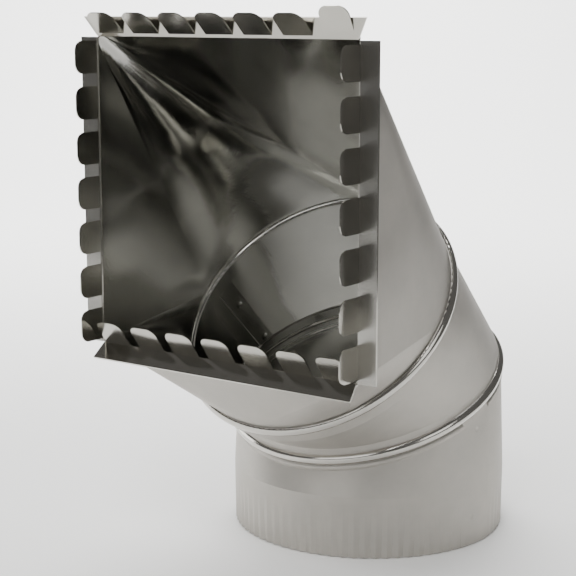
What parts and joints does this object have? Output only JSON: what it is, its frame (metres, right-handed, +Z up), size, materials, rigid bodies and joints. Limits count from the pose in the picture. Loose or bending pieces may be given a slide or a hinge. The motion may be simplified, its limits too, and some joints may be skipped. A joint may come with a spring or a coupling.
{
  "type": "duct takeoff",
  "caption": "Galvanised sheet duct takeoff: a square mouth with flange and bend-over tabs turns through a swivelling gore into a crimped round collar.",
  "frame": {"origin": "centre of the collar's crimped rim, where it stands", "axes": "+Z up along the collar, -X out of the square mouth, Y across it"},
  "size_m": [0.2259, 0.1792, 0.2873],
  "materials": {
    "collar_sheet": "galvanised, satin",
    "gore_sheet": "galvanised, satin",
    "transition_sheet": "galvanised, bright"
  },
  "bodies": {
    "collar": {"collar": "collar_sheet"},
    "gore": {"gore": "gore_sheet"},
    "transition": {"transition": "transition_sheet"}
  },
  "joints": [
    {"name": "gore_swivel", "type": "hinge", "parent": "collar", "child": "gore", "pos_m": [-0.0046, 0, 0.081], "axis": [-0.3827, 0, 0.9239], "continuous": true},
    {"name": "transition_swivel", "type": "hinge", "parent": "gore", "child": "transition", "pos_m": [-0.05127, 0, 0.12767], "axis": [-0.7071, 0, 0.7071], "continuous": true}
  ]
}
